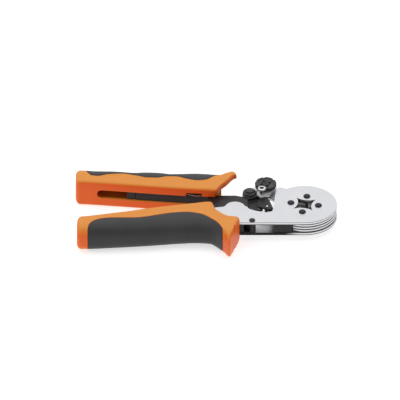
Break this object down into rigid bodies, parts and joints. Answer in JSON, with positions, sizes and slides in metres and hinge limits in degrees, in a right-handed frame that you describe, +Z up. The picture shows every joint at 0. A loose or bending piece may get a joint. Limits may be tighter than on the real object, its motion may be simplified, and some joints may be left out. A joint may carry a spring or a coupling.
{
  "type": "ferrule crimping tool",
  "caption": "Hand crimping tool with a four-jaw square die in a round laminated head, an adjusting wheel, a ratchet lever and two soft-padded handles.",
  "frame": {"origin": "under the middle of the tool's footprint, on the surface it lies on", "axes": "+X along the tool out of its head, +Y from the fixed handle to the moving handle, +Z up from the flat underside"},
  "size_m": [0.1742, 0.0832, 0.0194],
  "materials": {
    "nickel_plated_steel": "bright nickel plate with fine grinding lines",
    "black_oxide_steel": "satin black oxide",
    "hardened_jaw_steel": "ground, dark",
    "spring_steel": "bright drawn wire",
    "orange_plastic": "fine satin texture",
    "black_soft_grip": "matt, fine texture"
  },
  "bodies": {
    "frame": {"frame_plate_top": "nickel_plated_steel", "frame_plate_bottom": "nickel_plated_steel", "jaw_pin_1": "black_oxide_steel", "jaw_pin_2": "black_oxide_steel", "jaw_pin_3": "black_oxide_steel", "jaw_pin_4": "black_oxide_steel", "link_rivet": "black_oxide_steel", "tang_spacer_front": "black_oxide_steel", "tang_spacer_rear": "black_oxide_steel", "tang_rivet_front": "black_oxide_steel", "tang_rivet_rear": "black_oxide_steel", "return_spring_post": "black_oxide_steel", "frame_spacer_front": "black_oxide_steel", "frame_spacer_rear": "black_oxide_steel", "fixed_grip_body": "orange_plastic", "fixed_grip_pad": "black_soft_grip", "return_spring": "spring_steel"},
    "cam_ring": {"cam_ring_top": "nickel_plated_steel", "cam_ring_middle": "nickel_plated_steel", "cam_ring_bottom": "nickel_plated_steel", "ring_rivet_1": "black_oxide_steel", "ring_rivet_2": "black_oxide_steel", "ring_rivet_3": "black_oxide_steel", "ring_rivet_4": "black_oxide_steel", "lever_pivot_rivet": "black_oxide_steel", "lock_plate": "nickel_plated_steel", "pawl_spring": "spring_steel"},
    "wheel": {"adjust_wheel": "black_oxide_steel", "eccentric_pin": "black_oxide_steel", "eccentric_clip": "black_oxide_steel"},
    "lock_screw": {"lock_screw": "nickel_plated_steel"},
    "lever": {"lever_core": "black_oxide_steel", "lever_plate_top": "black_oxide_steel", "lever_plate_bottom": "black_oxide_steel", "lever_rivet_1": "black_oxide_steel", "lever_rivet_2": "black_oxide_steel", "lever_rivet_3": "black_oxide_steel", "toggle_pin": "black_oxide_steel", "tang_clip": "spring_steel", "tang_retainer": "black_oxide_steel", "moving_grip_body": "orange_plastic", "moving_grip_pad": "black_soft_grip"},
    "link": {"toggle_link": "black_oxide_steel", "link_doubler_top": "black_oxide_steel", "link_doubler_bottom": "black_oxide_steel", "link_spring_post": "black_oxide_steel"},
    "pawl": {"pawl": "black_oxide_steel", "pawl_pin": "black_oxide_steel", "release_lever": "black_oxide_steel", "pawl_spring_post": "black_oxide_steel"},
    "jaw_1": {"jaw_1": "hardened_jaw_steel"},
    "jaw_2": {"jaw_2": "hardened_jaw_steel"},
    "jaw_3": {"jaw_3": "hardened_jaw_steel"},
    "jaw_4": {"jaw_4": "hardened_jaw_steel"}
  },
  "joints": [
    {"name": "cam_ring_turn", "type": "hinge", "parent": "frame", "child": "cam_ring", "pos_m": [0.0655, 0.00322, 0.0096], "axis": [0, 0, 1], "range_deg": [-4.4, 0]},
    {"name": "handle_pivot", "type": "hinge", "parent": "cam_ring", "child": "lever", "pos_m": [0.0289, 0.01872, 0.0096], "axis": [0, 0, 1], "range_deg": [0, 21], "stiffness_Nm_per_rad": 0.6, "springref_deg": -34.38},
    {"name": "link_pivot", "type": "hinge", "parent": "frame", "child": "link", "pos_m": [0.0305, -0.01578, 0.0096], "axis": [0, 0, 1], "range_deg": [-16, 0], "deforming": ["return_spring"]},
    {"name": "adjust_wheel_turn", "type": "hinge", "parent": "cam_ring", "child": "wheel", "pos_m": [0.0397, 0.02382, 0.0096], "axis": [0, 0, 1], "continuous": true},
    {"name": "lock_screw_turn", "type": "hinge", "parent": "cam_ring", "child": "lock_screw", "pos_m": [0.03708, 0.01566, 0.0096], "axis": [0, 0, 1], "range_deg": [0, 360]},
    {"name": "pawl_pivot", "type": "hinge", "parent": "cam_ring", "child": "pawl", "pos_m": [0.0432, -0.00079, 0.0096], "axis": [0, 0, 1], "range_deg": [-8, 8], "stiffness_Nm_per_rad": 0.01, "deforming": ["pawl_spring"]},
    {"name": "jaw_1_pivot", "type": "hinge", "parent": "frame", "child": "jaw_1", "pos_m": [0.07461, 0.00161, 0.0096], "axis": [0, 0, 1], "range_deg": [-11, 0]},
    {"name": "jaw_2_pivot", "type": "hinge", "parent": "frame", "child": "jaw_2", "pos_m": [0.06711, 0.01233, 0.0096], "axis": [0, 0, 1], "range_deg": [-11, 0]},
    {"name": "jaw_3_pivot", "type": "hinge", "parent": "frame", "child": "jaw_3", "pos_m": [0.05639, 0.00483, 0.0096], "axis": [0, 0, 1], "range_deg": [-11, 0]},
    {"name": "jaw_4_pivot", "type": "hinge", "parent": "frame", "child": "jaw_4", "pos_m": [0.0639, -0.00589, 0.0096], "axis": [0, 0, 1], "range_deg": [-11, 0]}
  ],
  "couplings": [
    {"joint": "cam_ring_turn", "follows": "handle_pivot", "ratio": -0.205},
    {"joint": "link_pivot", "follows": "handle_pivot", "ratio": -0.745},
    {"joint": "jaw_1_pivot", "follows": "handle_pivot", "ratio": -0.51905},
    {"joint": "jaw_2_pivot", "follows": "handle_pivot", "ratio": -0.51905},
    {"joint": "jaw_3_pivot", "follows": "handle_pivot", "ratio": -0.51905},
    {"joint": "jaw_4_pivot", "follows": "handle_pivot", "ratio": -0.51905}
  ]
}
